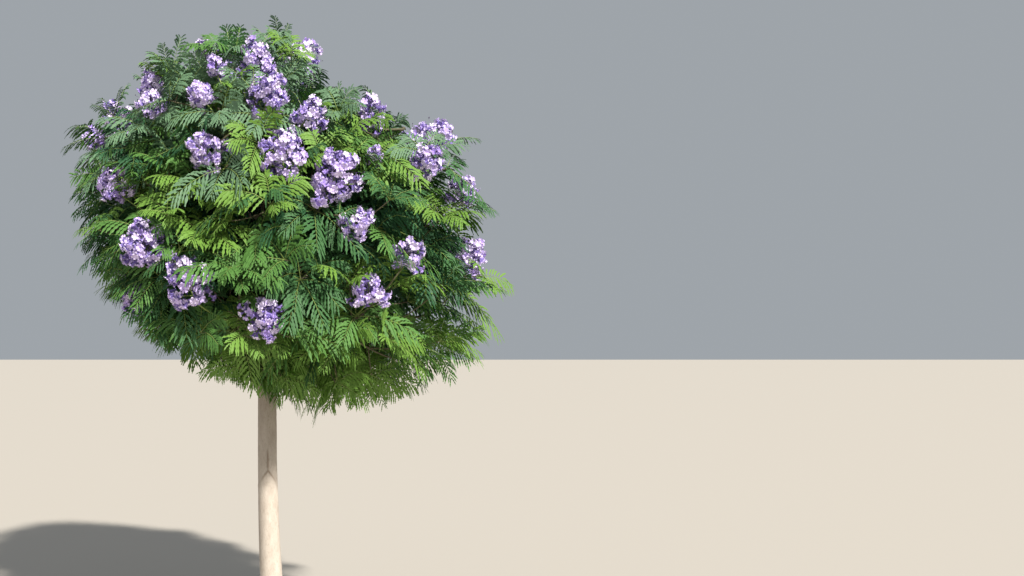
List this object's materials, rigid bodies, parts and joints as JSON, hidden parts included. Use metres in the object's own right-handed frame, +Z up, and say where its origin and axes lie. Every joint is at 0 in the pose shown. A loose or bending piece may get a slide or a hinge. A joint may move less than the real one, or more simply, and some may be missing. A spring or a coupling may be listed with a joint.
{
  "type": "jacaranda tree",
  "caption": "Young jacaranda tree with a clear, slightly bowed stem and a broad domed crown of feathery fronds with heads of violet trumpet flowers, for planting out in scenes.",
  "frame": {"origin": "middle of the flat cut at ground level under the trunk", "axes": "+Z up along the trunk, -Y the side that faces the viewer in the picture, +X to the right"},
  "size_m": [2.4199, 2.2413, 3.5685],
  "materials": {
    "bark": "thin, pale grey-beige bark, smooth with fine upright cracks",
    "foliage": "soft satin fern-like leaflets, yellow-green outside and deep green inside",
    "blossom": "soft matt petals, lilac to violet"
  },
  "bodies": {
    "root": {"trunk": "bark", "bough_leader": "bark", "bough_low_1": "bark", "bough_low_2": "bark", "bough_low_3": "bark", "bough_low_4": "bark", "bough_low_5": "bark", "bough_low_6": "bark", "bough_mid_1": "bark", "bough_mid_2": "bark", "bough_mid_3": "bark", "bough_mid_4": "bark", "bough_mid_5": "bark", "bough_mid_6": "bark", "bough_high_1": "bark", "bough_high_2": "bark", "bough_high_3": "bark", "bough_high_4": "bark", "bough_high_5": "bark", "foliage_low_1": "foliage", "foliage_low_2": "foliage", "foliage_low_3": "foliage", "foliage_low_4": "foliage", "foliage_low_5": "foliage", "foliage_low_6": "foliage", "foliage_mid_1": "foliage", "foliage_mid_2": "foliage", "foliage_mid_3": "foliage", "foliage_mid_4": "foliage", "foliage_mid_5": "foliage", "foliage_mid_6": "foliage", "foliage_high_1": "foliage", "foliage_high_2": "foliage", "foliage_high_3": "foliage", "foliage_high_4": "foliage", "foliage_high_5": "foliage", "foliage_top": "foliage"}
  },
  "joints": []
}
